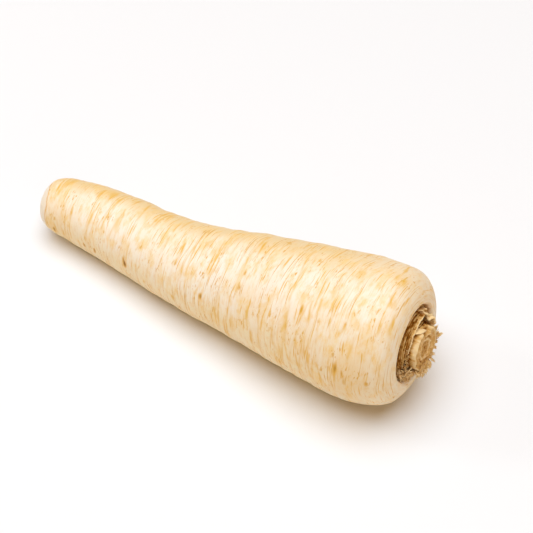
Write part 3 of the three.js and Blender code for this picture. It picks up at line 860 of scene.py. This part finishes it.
# The tree that sweeps every path into a fibre: it lets the path wander, gives it its thickness at
# each point, and closes its ends.
sweep = bpy.data.node_groups.new("sweep_fibres", "GeometryNodeTree")
sizes = {name: sweep.interface.new_socket(name, in_out="INPUT", socket_type="NodeSocket" + kind)
         for name, kind in (("Geometry", "Geometry"), ("Wander", "Float"), ("Wander Length", "Float"),
                            ("Seed", "Float"), ("Material", "Material"))}
sweep.interface.new_socket("Geometry", in_out="OUTPUT", socket_type="NodeSocketGeometry")
given = add(sweep, "NodeGroupInput")
where = add(sweep, "GeometryNodeInputPosition").outputs[0]
where = add(sweep, "ShaderNodeVectorMath", {0: where, 1: given.outputs["Wander Length"]},
            operation="DIVIDE").outputs[0]
bends = add(sweep, "ShaderNodeTexNoise",
            {"Vector": where, "W": given.outputs["Seed"], "Scale": 1.0, "Detail": 1.0},
            noise_dimensions="4D").outputs["Color"]
bends = add(sweep, "ShaderNodeVectorMath", {0: bends, 1: (0.5, 0.5, 0.5)}, operation="SUBTRACT").outputs[0]
bends = add(sweep, "ShaderNodeVectorMath", {0: bends, "Scale": given.outputs["Wander"]},
            operation="SCALE").outputs[0]
moved = add(sweep, "GeometryNodeSetPosition", {"Geometry": given.outputs["Geometry"], "Offset": bends})
curves = add(sweep, "GeometryNodeMeshToCurve", {"Mesh": moved.outputs[0]})
thick = add(sweep, "GeometryNodeInputNamedAttribute", {"Name": "thick"}, data_type="FLOAT")
curves = add(sweep, "GeometryNodeSetCurveRadius",
             {"Curve": curves.outputs[0], "Radius": thick.outputs["Attribute"]})
profile = add(sweep, "GeometryNodeCurvePrimitiveCircle", {"Resolution": FIBRE_SIDES, "Radius": 1.0})
swept = add(sweep, "GeometryNodeCurveToMesh",
            {"Curve": curves.outputs[0], "Profile Curve": profile.outputs[0], "Fill Caps": True,
             "Scale": thick.outputs["Attribute"]})
real = add(sweep, "GeometryNodeRealizeInstances", {"Geometry": swept.outputs[0]})
coated = add(sweep, "GeometryNodeSetMaterial",
             {"Geometry": real.outputs[0], "Material": given.outputs["Material"]})
add(sweep, "NodeGroupOutput", {"Geometry": coated.outputs[0]})
grow = fibre_paths.modifiers.new("sweep", "NODES")
grow.node_group = sweep
for name, value in (("Wander", FIBRE_WANDER * MM), ("Wander Length", FIBRE_WANDER_LENGTH * MM),
                    ("Seed", FIBRE_SEED), ("Material", torn_fibre)):
    grow[sizes[name].identifier] = value
shaped = fibre_paths.evaluated_get(bpy.context.evaluated_depsgraph_get())
fibres = put_in_scene("torn_stalk_fibres", bpy.data.meshes.new_from_object(shaped))
fibre_paths.modifiers.remove(grow)
bpy.data.objects.remove(fibre_paths)
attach(fibres, "root")

# ---------------------------------------------------------------- the studio
# A plain white floor and a plain white surround, one large soft light high above the root, and
# the camera, which looks down on the root from its front and towards its crown.
FLOOR_REACH = 3
floor_mesh = bpy.data.meshes.new("studio_floor")
floor_square = [(-1, -1, 0), (1, -1, 0), (1, 1, 0), (-1, 1, 0)]
floor_mesh.from_pydata([Vector(corner) * FLOOR_REACH for corner in floor_square], [], [(0, 1, 2, 3)])
floor = put_in_scene("studio_floor", floor_mesh)
floor_paint = new_material("white_studio_floor")
finish_material(floor_paint, Base_Color=linear("#F1F0ED"), Roughness=0.9)
floor_mesh.materials.append(floor_paint)

# The surround lights the root with a weak warm glow, and is seen by the camera as plain pale grey.
world = bpy.data.worlds.new("studio_air")
world.use_nodes = True
world.node_tree.nodes.clear()
glow = add(world, "ShaderNodeBackground", {"Color": (1.0, 0.52, 0.06, 1), "Strength": 0.24})
seen = add(world, "ShaderNodeBackground", {"Color": linear("#DEDBD8")})
looked_at = add(world, "ShaderNodeLightPath").outputs["Is Camera Ray"]
either = add(world, "ShaderNodeMixShader", {0: looked_at, 1: glow.outputs[0], 2: seen.outputs[0]})
add(world, "ShaderNodeOutputWorld", {"Surface": either.outputs[0]})
bpy.context.scene.world = world


def hang_light(name, turn, height, distance, size, energy, colour):
    """A round soft light that faces the root, from so far round and so high up."""
    lamp = bpy.data.lights.new(name, "AREA")
    lamp.shape = "DISK"
    lamp.size = size
    lamp.energy = energy
    lamp.color = colour
    turn, height = math.radians(turn), math.radians(height)
    towards = Vector((math.cos(height) * math.cos(turn), math.cos(height) * math.sin(turn), math.sin(height)))
    hung = put_in_scene(name, lamp)
    hung.location = towards * distance
    hung.rotation_euler = towards.to_track_quat("Z", "Y").to_euler()


hang_light("overhead_soft_box", -92, 86.5, 4.5, 5.0, 275, (0.78, 0.872, 1.0))
hang_light("sheen_light", 203, 37, 1.1, 0.3, 1.2, (0.9, 0.95, 1.0))
hang_light("fill_light", -45, 38, 1.1, 0.5, 0.8, (0.9, 0.93, 0.94))

CAMERA_TURN = math.radians(33)
CAMERA_HEIGHT = math.radians(44.04)
CAMERA_DISTANCE = 0.57893
LOOK_RIGHT = 0.01952
LOOK_UP = 0.0189
LOOK_ALONG = 0.00076
LENS = 90
back = Vector((math.sin(CAMERA_TURN) * math.cos(CAMERA_HEIGHT),
               -math.cos(CAMERA_TURN) * math.cos(CAMERA_HEIGHT), math.sin(CAMERA_HEIGHT)))
right = Vector((math.cos(CAMERA_TURN), math.sin(CAMERA_TURN), 0))
up = back.cross(right)
lens = bpy.data.cameras.new("camera")
lens.lens = LENS
camera = put_in_scene("camera", lens)
look_at = right * LOOK_RIGHT + up * LOOK_UP + Vector((LOOK_ALONG, 0, 0))
towards_root = Matrix((right, up, back)).transposed().to_4x4()
camera.matrix_world = Matrix.Translation(look_at + back * CAMERA_DISTANCE) @ towards_root
bpy.context.scene.camera = camera
bpy.context.scene.view_settings.view_transform = "Standard"
